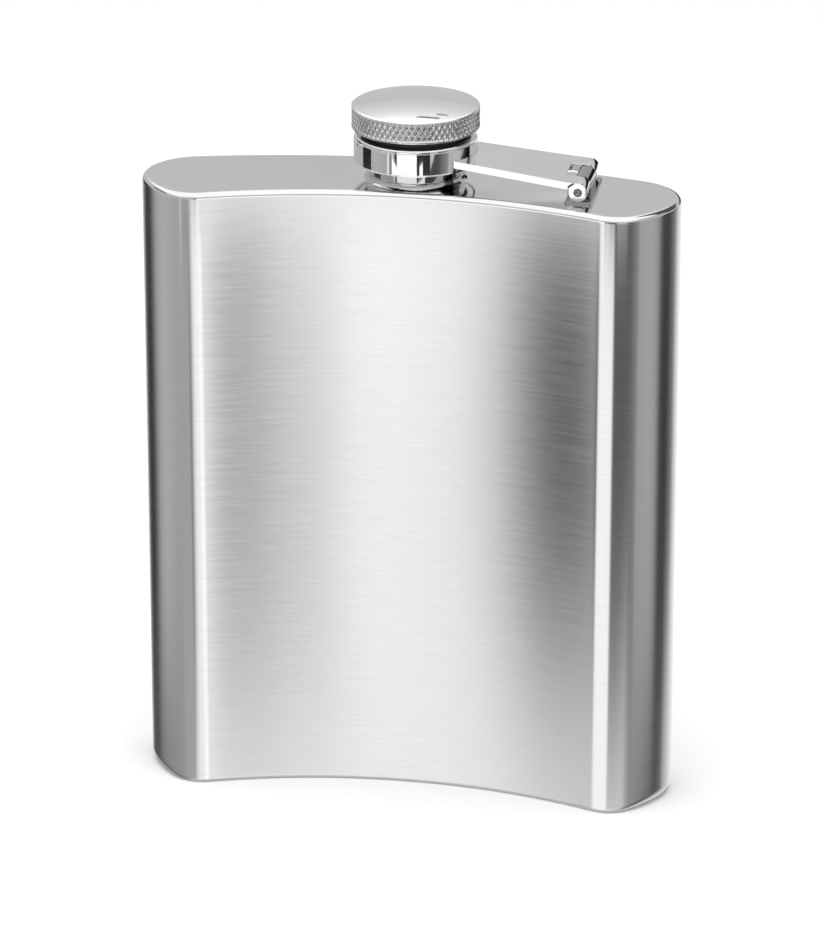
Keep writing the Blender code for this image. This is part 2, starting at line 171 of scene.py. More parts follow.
# ---- fineness of the meshes -----------------------------------------------------------------------
TURN_STEPS = 192
SMALL_TURN_STEPS = 64
ARC_STEP = math.radians(2.5)
LONG_ARC_STEPS = 48
FRONT_CORNER_STEPS = 26
END_STEPS = 10
BACK_CORNER_STEPS = 44
HOLE_STEPS = 96
BEVEL_ANGLE = math.radians(40)
TOUCH = 1e-6                                # closer points than this lie on the same wall


# ---- plane geometry -------------------------------------------------------------------------------
def arc(centre, radius, start, end, steps=None):
    """Return points on an arc from angle start to angle end, both included."""
    if steps is None:
        steps = max(3, math.ceil(abs(end - start) / ARC_STEP))
    points = []
    for index in range(steps + 1):
        angle = start + (end - start) * index / steps
        points.append(centre + radius * Vector((math.cos(angle), math.sin(angle))))
    return points


def angle_of(vector):
    """Return the direction of a plane vector as an angle."""
    return math.atan2(vector.y, vector.x)


def circles_meet(centre_a, radius_a, centre_b, radius_b):
    """Return where two circles cross, on the right of the way from a to b."""
    across = centre_b - centre_a
    along = (radius_a ** 2 - radius_b ** 2 + across.length_squared) / (2 * across.length)
    height = math.sqrt(radius_a ** 2 - along ** 2)
    direction = across.normalized()
    return centre_a + along * direction + height * Vector((direction.y, -direction.x))


def body_outline(inset=0.0):
    """Return the flask's outline from above as tangent arcs, counter-clockwise, round the neck."""
    hollow_r = FRONT_HOLLOW_R + inset
    bulge_r = BACK_R - inset
    end_r = END_R - inset
    front_r = FRONT_CORNER_R - inset
    back_r = BACK_CORNER_R - inset
    front = Vector((0.0, FRONT_MID_Y + inset - hollow_r))
    back = Vector((0.0, BACK_MID_Y - inset - bulge_r))
    end = Vector((END_CENTRE_X, 0.0))
    front_corner = circles_meet(front, hollow_r + front_r, end, end_r - front_r)
    back_corner = circles_meet(back, bulge_r - back_r, end, end_r - back_r)
    to_end = angle_of(front_corner - end)
    to_back = angle_of(back_corner - end)
    bulge_start = angle_of(back_corner - back)
    right = arc(front, hollow_r, math.pi / 2, angle_of(front_corner - front), LONG_ARC_STEPS)
    right += arc(front_corner, front_r, angle_of(front - front_corner), to_end,
                 FRONT_CORNER_STEPS)[1:]
    right += arc(end, end_r, to_end, to_back, END_STEPS)[1:]
    right += arc(back_corner, back_r, to_back, bulge_start, BACK_CORNER_STEPS)[1:]
    right += arc(back, bulge_r, bulge_start, math.pi / 2, LONG_ARC_STEPS)[1:]
    left = [Vector((-point.x, point.y)) for point in reversed(right[1:-1])]
    return right + left


def rounded(corners, closed=True, steps=5):
    """Round the corners of a plane line. Each corner is (a, b, radius); radius 0 keeps it sharp."""
    count = len(corners)
    points = []
    for index, (a, b, radius) in enumerate(corners):
        here = Vector((a, b))
        if radius == 0 or (not closed and index in (0, count - 1)):
            points.append(here)
            continue
        before = Vector(corners[index - 1][:2])
        after = Vector(corners[(index + 1) % count][:2])
        inward = (before - here).normalized()
        outward = (after - here).normalized()
        half = inward.angle(outward) / 2
        reach = radius / math.tan(half)
        centre = here + (inward + outward).normalized() * radius / math.sin(half)
        start = angle_of(here + inward * reach - centre)
        sweep = angle_of(here + outward * reach - centre) - start
        sweep = (sweep + math.pi) % (2 * math.pi) - math.pi
        points += arc(centre, radius, start, start + sweep, steps)
    return points


def wall(radius, start, end, steps):
    """Return the points between two heights on a straight wall, without its ends."""
    return [Vector((radius, start + (end - start) * step / steps)) for step in range(1, steps)]


# ---- mesh helpers ---------------------------------------------------------------------------------
def add_object(name, shape, x=0.0, y=0.0, z=0.0):
    """Turn a bmesh into an object at a place."""
    bmesh.ops.recalc_face_normals(shape, faces=shape.faces)
    mesh = bpy.data.meshes.new(name)
    shape.to_mesh(mesh)
    shape.free()
    made = bpy.data.objects.new(name, mesh)
    made.location = (x, y, z)
    bpy.context.scene.collection.objects.link(made)
    return made


def apply_modifiers(piece):
    """Replace a piece's mesh by its modified mesh."""
    bpy.context.view_layer.update()
    evaluated = piece.evaluated_get(bpy.context.evaluated_depsgraph_get())
    mesh = bpy.data.meshes.new_from_object(evaluated)
    piece.modifiers.clear()
    piece.data = mesh


def finish_shape(piece, angle=35.0):
    """Shade a piece smooth with crisp edges, and let its large faces keep their own normals."""
    piece.data.shade_smooth()
    piece.data.set_sharp_from_angle(angle=math.radians(angle))
    weighted = piece.modifiers.new("normals", "WEIGHTED_NORMAL")
    weighted.keep_sharp = True
    weighted.mode = "FACE_AREA_WITH_ANGLE"


def bevel_edges(piece, width, segments=3):
    """Round a piece's sharp edges."""
    bevel = piece.modifiers.new("edges", "BEVEL")
    bevel.width = width
    bevel.segments = segments
    bevel.limit_method = "ANGLE"
    bevel.angle_limit = BEVEL_ANGLE
    bevel.use_clamp_overlap = True
    apply_modifiers(piece)


def cut(piece, cutter, operation="DIFFERENCE"):
    """Cut a piece by a cutter, which is then removed."""
    boolean = piece.modifiers.new("cut", "BOOLEAN")
    boolean.operation = operation
    boolean.object = cutter
    boolean.solver = "EXACT"
    apply_modifiers(piece)
    bpy.data.objects.remove(cutter, do_unlink=True)


def lathe(name, profile, steps=TURN_STEPS, closed=True, relief=None):
    """Turn a profile of (radius, height) points round the neck's axis.

    A closed profile makes a ring. An open one starts and ends on the axis. relief(angle, radius,
    height) gives how far a point of a wall stands out, for threads and knurls.
    """
    shape = bmesh.new()
    rings = []
    for radius, height in profile:
        if radius < TOUCH:
            rings.append([shape.verts.new((0.0, 0.0, height))])
            continue
        ring = []
        for index in range(steps):
            angle = 2 * math.pi * index / steps
            out = radius + (relief(angle, radius, height) if relief else 0.0)
            ring.append(shape.verts.new((out * math.cos(angle), out * math.sin(angle), height)))
        rings.append(ring)
    pairs = list(zip(rings, rings[1:]))
    if closed:
        pairs.append((rings[-1], rings[0]))
    for first, second in pairs:
        for index in range(steps):
            after = (index + 1) % steps
            if len(first) == 1:
                shape.faces.new((first[0], second[after], second[index]))
            elif len(second) == 1:
                shape.faces.new((first[index], first[after], second[0]))
            else:
                shape.faces.new((first[index], first[after], second[after], second[index]))
    return add_object(name, shape, AXIS_X, AXIS_Y, SEAT_Z)


def prism(outline, low, high):
    """Return an upright prism over a plane outline as a bmesh."""
    shape = bmesh.new()
    corners = [shape.verts.new((point[0], point[1], low)) for point in outline]
    base = shape.faces.new(corners)
    raised = bmesh.ops.extrude_face_region(shape, geom=[base])
    top = [item for item in raised["geom"] if isinstance(item, bmesh.types.BMVert)]
    bmesh.ops.translate(shape, verts=top, vec=(0.0, 0.0, high - low))
    return shape


def side_prism(name, outline, near, far):
    """Extrude an (x, z) outline about the pin along the pin, from near to far along Y."""
    shape = prism(outline, -far, -near)
    bmesh.ops.rotate(shape, verts=shape.verts, matrix=Matrix.Rotation(math.pi / 2, 3, "X"))
    return add_object(name, shape, PIN.x, 0.0, PIN.z)


def cylinder(name, radius, low, high, place, steps=TURN_STEPS, along_y=False):
    """Return a cylinder object, upright or along Y."""
    shape = bmesh.new()
    middle = Matrix.Translation((0.0, 0.0, (low + high) / 2))
    bmesh.ops.create_cone(shape, cap_ends=True, segments=steps, radius1=radius, radius2=radius,
                          depth=high - low, matrix=middle)
    if along_y:
        bmesh.ops.rotate(shape, verts=shape.verts, matrix=Matrix.Rotation(math.pi / 2, 3, "X"))
    return add_object(name, shape, *place)


def settle(piece, body, slot, material, *nodes):
    """Give a finished piece its body and material, and hide the CAD nodes it stands for. The slot is
    not used.
    """
    piece.data.materials.clear()
    piece.data.materials.append(material)
    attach(piece, body)
    if nodes:
        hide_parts(*nodes)


# ---- materials ------------------------------------------------------------------------------------
NOISE_LOW = 0.3                             # most of a noise lies between these values
NOISE_HIGH = 0.7
CHROME_GREY = 0.86
# painted shade: the neck's chrome is painted darker than the collar's, as the shade under the collar
NECK_SHADE_GREY = 0.6
# painted shade: the cap's knurled side is painted darker than the plating of its crown
KNURL_SHADE_GREY = 0.6
# painted shade: the hinge base and its foot are painted darker than the arm's chrome, as the shade
# under the arm
HINGE_SHADE_GREY = 0.42


class Nodes:
    """A short way to write a material's node tree."""

    def __init__(self, name):
        self.material = bpy.data.materials.new(name)
        self.material.use_nodes = True
        self.tree = self.material.node_tree
        self.shader = self.tree.nodes["Principled BSDF"]

    def add(self, kind, inputs=None, **settings):
        """Add a node. Inputs are values or other nodes' sockets, by name or number."""
        node = self.tree.nodes.new("ShaderNode" + kind)
        for key, value in settings.items():
            setattr(node, key, value)
        for key, value in (inputs or {}).items():
            self.put(node.inputs[key], value)
        return node

    def put(self, socket, value):
        """Set a socket to a value, or link it to another socket."""
        if isinstance(value, bpy.types.NodeSocket):
            self.tree.links.new(value, socket)
        else:
            socket.default_value = value

    def set(self, **inputs):
        """Set the shader's own sockets, with spaces written as underscores."""
        for key, value in inputs.items():
            self.put(self.shader.inputs[key.replace("_", " ")], value)

    def ramp(self, value, stops):
        """Return the colour of a ramp with two grey stops of (position, grey)."""
        node = self.add("ValToRGB", {"Fac": value})
        for element, (position, grey) in zip(node.color_ramp.elements, stops):
            element.position = position
            element.color = (grey, grey, grey, 1.0)
        return node.outputs["Color"]

    def greys(self, value, low, high):
        """Return a grey that goes from low to high with a noise value."""
        return self.ramp(value, [(NOISE_LOW, low), (NOISE_HIGH, high)])

    def noise(self, vector, scale, detail):
        """Return a noise value."""
        node = self.add("TexNoise", {"Vector": vector, "Scale": scale, "Detail": detail})
        return node.outputs["Fac"]

    def stretched(self, vector, scale):
        """Return a vector scaled by a different amount along each axis."""
        return self.add("Mapping", {"Vector": vector, "Scale": scale}).outputs["Vector"]

    def between(self, value, low, high):
        """Return a number that goes from low to high with a noise value."""
        node = self.add("MapRange", {"Value": value, "From Min": NOISE_LOW, "From Max": NOISE_HIGH,
                                     "To Min": low, "To Max": high})
        return node.outputs["Result"]

    def bump(self, height, distance, strength):
        """Return the normal of a bump of that height in metres."""
        inputs = {"Height": height, "Distance": distance, "Strength": strength}
        return self.add("Bump", inputs).outputs["Normal"]


def object_place(nodes):
    """Return the object coordinates of a point."""
    return nodes.add("TexCoord").outputs["Object"]


def brushed_steel():
    """Steel brushed round the flask: fine level streaks that spread reflections up and down."""
    nodes = Nodes("brushed_steel")
    grain = nodes.add("UVMap", uv_map="grain").outputs["UV"]
    fine = nodes.noise(nodes.stretched(grain, (7000.0, 260.0, 1.0)), 1.0, 2.0)
    coarse = nodes.noise(nodes.stretched(grain, (2200.0, 80.0, 1.0)), 1.0, 3.0)
    streak = nodes.add("Math", {0: fine, 1: coarse}, operation="ADD").outputs[0]
    half = nodes.add("Math", {0: streak, 1: 0.5}, operation="MULTIPLY").outputs[0]
    colour = nodes.greys(half, 0.72, 0.78)
    tangent = nodes.add("Tangent", direction_type="UV_MAP", uv_map="grain").outputs["Tangent"]
    nodes.set(Base_Color=colour, Metallic=1.0, Anisotropic=0.9, Tangent=tangent,
              Roughness=nodes.between(coarse, 0.21, 0.24),
              Normal=nodes.bump(half, 0.000002, 0.4))
    return nodes.material


def polished_steel():
    """Steel polished to a mirror, with the faint waves and hairlines of a buffed plate."""
    nodes = Nodes("polished_steel")
    place = object_place(nodes)
    waves = nodes.noise(place, 60.0, 2.0)
    hair = nodes.noise(nodes.stretched(place, (400.0, 5000.0, 400.0)), 1.0, 2.0)
    nodes.set(Base_Color=nodes.greys(waves, 0.76, 0.80), Metallic=1.0,
              Roughness=nodes.between(hair, 0.07, 0.12),
              Normal=nodes.bump(waves, 0.00003, 0.3))
    return nodes.material


def plate(nodes, place, colour, waves):
    """Make a material a mirror-bright plating with a barely uneven polish."""
    fine = nodes.noise(place, 2500.0, 3.0)
    nodes.set(Base_Color=colour, Metallic=1.0, Roughness=nodes.between(fine, 0.035, 0.07),
              Normal=nodes.bump(waves, 0.00002, 0.25))
    return nodes.material


def chrome(name, grey):
    """Plated metal of one brightness."""
    nodes = Nodes(name)
    place = object_place(nodes)
    waves = nodes.noise(place, 140.0, 2.0)
    return plate(nodes, place, nodes.greys(waves, grey - 0.03, grey), waves)


def knurled_chrome():
    """The cap's plating: bright on the crown, and painted darker in the knurl below it as painted
    shade.
    """
    nodes = Nodes("knurled_chrome")
    place = object_place(nodes)
    height = nodes.add("SeparateXYZ", {"Vector": place}).outputs["Z"]
    crown = nodes.add("MapRange", {"Value": height, "From Min": CAP_RIM - 0.2 * MM,
                                   "From Max": CAP_RIM - 0.05 * MM}).outputs["Result"]
    # painted shade: the knurl gets the darker grey, and the crown keeps the plain chrome grey
    colour = nodes.ramp(crown, [(0.0, KNURL_SHADE_GREY), (1.0, CHROME_GREY)])
    return plate(nodes, place, colour, nodes.noise(place, 140.0, 2.0))


def pin_steel():
    """Plain turned steel, duller and darker than the plating."""
    nodes = Nodes("pin_steel")
    place = object_place(nodes)
    grain = nodes.noise(nodes.stretched(place, (6000.0, 500.0, 6000.0)), 1.0, 3.0)
    nodes.set(Base_Color=nodes.greys(grain, 0.22, 0.36), Metallic=1.0,
              Roughness=nodes.between(grain, 0.25, 0.45), Normal=nodes.bump(grain, 0.00001, 0.5))
    return nodes.material


def black_nylon():
    """Moulded plastic with a fine satin grain, painted near-black as the shade in the gap between the
    cap and the collar.
    """
    nodes = Nodes("black_nylon")
    place = object_place(nodes)
    grain = nodes.noise(place, 4500.0, 3.0)
    cloud = nodes.noise(place, 300.0, 2.0)
    # painted shade: the near-black colour stands for the shade in the gap under the cap
    nodes.set(Base_Color=nodes.greys(cloud, 0.008, 0.018), Specular_IOR_Level=0.4,
              Roughness=nodes.between(grain, 0.32, 0.48), Normal=nodes.bump(grain, 0.00001, 0.6))
    return nodes.material


def silicone():
    """Milky white rubber."""
    nodes = Nodes("silicone")
    cloud = nodes.noise(object_place(nodes), 500.0, 3.0)
    nodes.set(Base_Color=nodes.greys(cloud, 0.62, 0.72), Subsurface_Weight=0.3,
              Subsurface_Scale=0.001, Roughness=nodes.between(cloud, 0.45, 0.6),
              Normal=nodes.bump(cloud, 0.00002, 0.4))
    return nodes.material


# ---- the body -------------------------------------------------------------------------------------
def smooth_step(value, low, high):
    """Return 0 below low and 1 above high, with a soft change between them."""
    share = min(1.0, max(0.0, (value - low) / (high - low)))
    return share * share * (3 - 2 * share)


def top_rim(point):
    """Return the radius of the top plate's rounded rim at a point of the outline."""
    return RIM_R


def bottom_rim(point):
    """Return the radius of the bottom edge, which is larger at the narrow sides."""
    return FOOT_RIM_R + (END_RIM_R - FOOT_RIM_R) * smooth_step(abs(point.x), END_RIM_FROM, END_RIM_TO)


def rim_inset(radius, height):
    """Return how far a rounded rim stands back at a height from the end of the flask."""
    if height >= radius:
        return 0.0
    return radius - math.sqrt(max(0.0, radius ** 2 - (radius - height) ** 2))


def outline_frame(points):
    """Return each point's inward direction, and the length of the outline up to each point."""
    insets = []
    run = [0.0]
    for index, point in enumerate(points):
        after = points[(index + 1) % len(points)]
        along = after - points[index - 1]
        insets.append(Vector((-along.y, along.x)).normalized())
        run.append(run[-1] + (after - point).length)
    return insets, run


def grain_map(shape):
    """Return the UV layer that the brushed finish follows."""
    return shape.loops.layers.uv.get("grain") or shape.loops.layers.uv.new("grain")


def skin(shape, rings, heights, run):
    """Join rings of points into a wall whose grain map runs up along u and round along v."""
    grain = grain_map(shape)
    count = len(rings[0])
    for row in range(len(rings) - 1):
        for index in range(count):
            after = (index + 1) % count
            face = shape.faces.new((rings[row][index], rings[row][after],
                                    rings[row + 1][after], rings[row + 1][index]))
            corners = ((heights[row], run[index]), (heights[row], run[index + 1]),
                       (heights[row + 1], run[index + 1]), (heights[row + 1], run[index]))
            for loop, corner in zip(face.loops, corners):
                loop[grain].uv = corner


def add_sleeve(material):
    """The brushed sleeve, with a ground weld seam down the narrow side away from the hinge."""
    outline = body_outline()
    inward, _ = outline_frame(outline)
    far_left = min(range(len(outline)), key=lambda index: outline[index].x)
    seam = outline[far_left]
    points = []
    directions = []
    depths = []
    for index, point in enumerate(outline):
        if index == far_left:
            for step in (-1.0, -0.5, 0.0, 0.5, 1.0):
                points.append(Vector((seam.x, seam.y - step * SIDE_SEAM_HALF)))
                directions.append(inward[index])
                depths.append(SIDE_SEAM_DEPTH * (1 - step * step))
        elif (point - seam).length > 2 * SIDE_SEAM_HALF:
            points.append(point)
            directions.append(inward[index])
            depths.append(0.0)
    _, run = outline_frame(points)
    high = SEAT_Z - SEAM_Z
    levels = [(SEAM_Z + SLEEVE_FOOT_STEP * step, 0.0) for step in range(SLEEVE_FOOT_STEPS)]
    levels += [(high - SEAM_GROOVE, 0.0), (high, SEAM_GROOVE), (high, SHEET), (SEAM_Z, SHEET)]
    shape = bmesh.new()
    rings = []
    for height, groove in levels:
        ring = []
        for point, direction, depth in zip(points, directions, depths):
            inset = rim_inset(bottom_rim(point), height) + groove + (depth if groove < SHEET else 0.0)
            place = point + inset * direction
            ring.append(shape.verts.new((place.x, place.y, height)))
        rings.append(ring)
    rings.append(rings[0])
    skin(shape, rings, [height for height, _ in levels + levels[:1]], run)
    sleeve = add_object("sleeve_visual", shape, AXIS_X, AXIS_Y)
    finish_shape(sleeve)
    settle(sleeve, "flask", "brushed_steel", material, "body_sleeve")


def fill_flat(shape, ring, hole_r, level):
    """Close a ring of points with a flat face, with a round hole in it if hole_r is given."""
    count = len(ring)
    edges = [shape.edges.get((ring[index], ring[(index + 1) % count])) for index in range(count)]
    hole = []
    if hole_r:
        for index in range(HOLE_STEPS):
            angle = 2 * math.pi * index / HOLE_STEPS
            hole.append(shape.verts.new((hole_r * math.cos(angle), hole_r * math.sin(angle), level)))
        for index in range(HOLE_STEPS):
            edges.append(shape.edges.new((hole[index], hole[(index + 1) % HOLE_STEPS])))
        made = bmesh.ops.triangle_fill(shape, use_beauty=True, edges=edges)["geom"]
        flat = [item for item in made if isinstance(item, bmesh.types.BMFace)]
    else:
        flat = [shape.faces.new(ring)]
    grain = grain_map(shape)
    for face in flat:
        for loop in face.loops:
            loop[grain].uv = (loop.vert.co.y, loop.vert.co.x)
    return hole


def add_plate(name, node, level, outward, rim, slot, material, hole_r=None):
    """An end plate with a rounded rim; outward is +1 for the top and -1 for the bottom."""
    points = body_outline()
    inward, run = outline_frame(points)
    depths = [SEAM_Z, SEAM_Z - SEAM_GROOVE]
    depths += [SEAM_Z * (1 - step / RIM_STEPS) ** RIM_CROWDING for step in range(1, RIM_STEPS + 1)]
    levels = [(depth, 0.0) for depth in depths]
    levels = [(SHEET, 2 * SHEET), (SEAM_Z, SHEET)] + levels
    shape = bmesh.new()
    rings = []
    heights = []
    for depth, inner in levels:
        ring = []
        for point, direction in zip(points, inward):
            place = point + (rim_inset(rim(point), depth) + inner) * direction
            ring.append(shape.verts.new((place.x, place.y, level - outward * depth)))
        rings.append(ring)
        heights.append(level - outward * depth)
    skin(shape, rings, heights, run)
    outer_hole = fill_flat(shape, rings[-1], hole_r, level)
    inner_hole = fill_flat(shape, rings[0], hole_r, level - outward * SHEET)
    for index in range(len(outer_hole)):
        after = (index + 1) % HOLE_STEPS
        shape.faces.new((outer_hole[index], outer_hole[after], inner_hole[after], inner_hole[index]))
    plate = add_object(name, shape, AXIS_X, AXIS_Y)
    finish_shape(plate)
    settle(plate, "flask", slot, material, node)


# ---- the closure ----------------------------------------------------------------------------------
def thread_relief(root_r, crest_r, phase):
    """Return a relief that stands a right-hand thread on a wall at root_r, fading in and out."""
    fading = THREAD_FADE * THREAD_PITCH

    def relief(angle, radius, height):
        if abs(radius - root_r) > TOUCH or not THREAD_LOW <= height <= THREAD_HIGH:
            return 0.0
        turn = (height - THREAD_LOW) / THREAD_PITCH - angle / (2 * math.pi) + phase
        ridge = 0.5 + 0.5 * math.cos(2 * math.pi * turn)
        ridge = min(1.0, 1.6 * ridge ** 1.5)
        fade = min(1.0, (height - THREAD_LOW) / fading, (THREAD_HIGH - height) / fading)
        return (crest_r - root_r) * ridge * fade
    return relief


def add_neck(material):
    """The neck: a welded foot, a plain band with a fine groove, a shoulder and the thread."""
    profile = rounded([
        (NECK_BORE_R, NECK_LOW, 0.0),
        (NECK_BORE_R, NECK_HIGH, 0.18 * MM),
        (NECK_ROOT_R, NECK_HIGH, 0.18 * MM),
        (NECK_ROOT_R, THREAD_HIGH, 0.0),
    ])
    profile += wall(NECK_ROOT_R, THREAD_HIGH, THREAD_LOW, THREAD_STEPS)
    profile += rounded([
        (NECK_ROOT_R, THREAD_LOW, 0.0),
        (NECK_ROOT_R, NECK_BAND_TOP, 0.12 * MM),
        (NECK_R, NECK_BAND_TOP - 0.1 * MM, 0.15 * MM),
        (NECK_R, BAND_GROOVE_Z + BAND_GROOVE_HALF, 0.0),
        (NECK_R - BAND_GROOVE_DEPTH, BAND_GROOVE_Z, 0.0),
        (NECK_R, BAND_GROOVE_Z - BAND_GROOVE_HALF, 0.0),
        (NECK_R, WELD_FOOT_TOP, 0.0),
        (NECK_R + 0.16 * MM, 0.35 * MM, 0.3 * MM),
        (WELD_FOOT_R, 0.0, 0.0),
        (NECK_ROOT_R, 0.0, 0.0),
        (NECK_ROOT_R, NECK_LOW, 0.0),
    ], closed=False)
    neck = lathe("neck_visual", profile, relief=thread_relief(NECK_ROOT_R, NECK_CREST_R, 0.0))
    finish_shape(neck)
    settle(neck, "flask", "chrome", material, "neck")


def add_collar(material):
    """The collar, a short cup with a rolled upper edge and a fine bead at its foot."""
    profile = rounded([
        (COLLAR_HOLE_R, COLLAR_HIGH, 0.1 * MM),
        (COLLAR_R - COLLAR_STEP, COLLAR_HIGH, 0.42 * MM),
        (COLLAR_R - COLLAR_STEP, COLLAR_HIGH - 0.62 * MM, 0.05 * MM),
        (COLLAR_R, COLLAR_HIGH - 0.68 * MM, 0.05 * MM),
        (COLLAR_R, COLLAR_LOW + 0.32 * MM, 0.05 * MM),
        (COLLAR_R - 0.1 * MM, COLLAR_LOW + 0.25 * MM, 0.05 * MM),
        (COLLAR_R - 0.02 * MM, COLLAR_LOW + 0.17 * MM, 0.03 * MM),
        (COLLAR_R - 0.02 * MM, COLLAR_LOW, 0.1 * MM),
        (COLLAR_BORE_R, COLLAR_LOW, 0.1 * MM),
        (COLLAR_BORE_R, COLLAR_HIGH - COLLAR_LID, 0.2 * MM),
        (COLLAR_HOLE_R, COLLAR_HIGH - COLLAR_LID, 0.1 * MM),
    ])
    collar = lathe("collar_visual", profile)
    finish_shape(collar)
    settle(collar, "arm", "chrome", material, "collar")


def knurl_relief(low, high):
    """Return a relief of diamonds pressed into the cap's side, fading at both edges."""
    pitch = 2 * math.pi * CAP_R / KNURL_COUNT
    tall = pitch / math.tan(KNURL_ANGLE)

    def groove(turn):
        """Return 1 in the middle of a groove and 0 half way to the next."""
        return abs(2 * (turn - math.floor(turn)) - 1)

    def relief(angle, radius, height):
        if abs(radius - CAP_R) > TOUCH or not low <= height <= high:
            return 0.0
        across = angle / (2 * math.pi) * KNURL_COUNT
        along = (height - low) / tall
        deepest = max(groove(across + along), groove(across - along))
        fade = min(1.0, (height - low) / KNURL_FADE, (high - height) / KNURL_FADE)
        return -KNURL_DEPTH * deepest * fade
    return relief


def add_cap_shell(material):
    """The cap: a shallow crown with a crisp rim over a diamond-knurled side."""
    rise = CAP_HIGH - CAP_RIM
    crown_r = (CAP_R ** 2 + rise ** 2) / (2 * rise)
    crown_centre = Vector((0.0, CAP_HIGH - crown_r))
    rim_angle = angle_of(Vector((CAP_R - CROWN_LIP, CAP_RIM)) - crown_centre)
    profile = arc(crown_centre, crown_r, math.pi / 2, rim_angle, CROWN_STEPS)
    profile[0].x = 0.0
    knurl_high = CAP_RIM - 0.15 * MM
    knurl_low = CAP_LOW + 0.55 * MM
    profile += rounded([
        (CAP_R - CROWN_LIP, CAP_RIM, 0.0),
        (CAP_R, CAP_RIM - 0.08 * MM, 0.0),
        (CAP_R, knurl_high, 0.0),
    ], closed=False)[1:]
    profile += wall(CAP_R, knurl_high, knurl_low, KNURL_ROWS)
    profile += rounded([
        (CAP_R, knurl_low, 0.0),
        (CAP_R, CAP_LOW + 0.3 * MM, 0.15 * MM),
        (CAP_R - 0.45 * MM, CAP_LOW, 0.15 * MM),
        (CAP_BORE_R, CAP_LOW, 0.1 * MM),
        (CAP_BORE_R, CAP_CEILING, 0.2 * MM),
        (0.0, CAP_CEILING, 0.0),
    ], closed=False)
    shell = lathe("cap_shell_visual", profile, KNURL_COUNT * KNURL_COLUMNS, closed=False,
                  relief=knurl_relief(knurl_low, knurl_high))
    finish_shape(shell, 50.0)
    settle(shell, "cap", "chrome", material, "cap_shell")


def add_insert(material):
    """The cap's threaded lining, with the flange that the collar holds."""
    flange_r, low, high = turned_size("cap_insert")
    profile = rounded([
        (INSERT_BORE_R, high, 0.0),
        (INSERT_R, high, 0.1 * MM),
        (INSERT_R, low + INSERT_FLANGE, 0.1 * MM),
        (flange_r, low + INSERT_FLANGE, 0.08 * MM),
        (flange_r, low, 0.08 * MM),
        (INSERT_BORE_R, low, 0.1 * MM),
        (INSERT_BORE_R, THREAD_LOW, 0.0),
    ], closed=False)
    profile += wall(INSERT_BORE_R, THREAD_LOW, THREAD_HIGH, THREAD_STEPS)
    profile.append(Vector((INSERT_BORE_R, THREAD_HIGH)))
    insert = lathe("cap_insert_visual", profile,
                   relief=thread_relief(INSERT_BORE_R, INSERT_CREST_R, 0.5))
    finish_shape(insert)
    # painted shade: the lining's near-black finish shows in the gap between the cap and the collar as
    # its shade
    settle(insert, "cap", "black_nylon", material, "cap_insert")


def add_flange_ring(material):
    """The bright ring round the lip of the insert's flange."""
    flange_r, top, _ = turned_size("cap_insert")
    inner_r = INSERT_BORE_R + 0.1 * MM
    low = COLLAR_LOW + 0.02 * MM
    keeper = lathe("flange_ring_visual", rounded([
        (inner_r, top, 0.03 * MM),
        (flange_r, top, 0.03 * MM),
        (flange_r, low, 0.03 * MM),
        (inner_r, low, 0.03 * MM),
    ]))
    finish_shape(keeper)
    settle(keeper, "cap", "chrome", material)


def add_gasket(material):
    """The gasket in the cap's ceiling, with a shallow groove where it meets the neck."""
    _, low, high = turned_size("cap_gasket")
    profile = rounded([
        (0.0, high, 0.0),
        (GASKET_R, high, 0.15 * MM),
        (GASKET_R, low, 0.25 * MM),
        (NECK_ROOT_R + 0.45 * MM, low, 0.1 * MM),
        (NECK_ROOT_R + 0.15 * MM, low + GASKET_GROOVE, 0.1 * MM),
        (NECK_BORE_R - 0.15 * MM, low + GASKET_GROOVE, 0.1 * MM),
        (NECK_BORE_R - 0.45 * MM, low, 0.1 * MM),
        (0.0, low, 0.0),
    ], closed=False)
    gasket = lathe("gasket_visual", profile, closed=False)
    finish_shape(gasket)
    settle(gasket, "cap", "silicone", material, "cap_gasket")


def add_washer(material):
    """The thin washer that the insert's flange turns on."""
    outer, low, high = turned_size("swivel_washer")
    washer = lathe("swivel_washer_visual", rounded([
        (CAP_BORE_R, high, 0.06 * MM),
        (outer, high, 0.06 * MM),
        (outer, low, 0.06 * MM),
        (CAP_BORE_R, low, 0.06 * MM),
    ]))
    finish_shape(washer)
    settle(washer, "cap_carrier", "pin_steel", material, "swivel_washer")


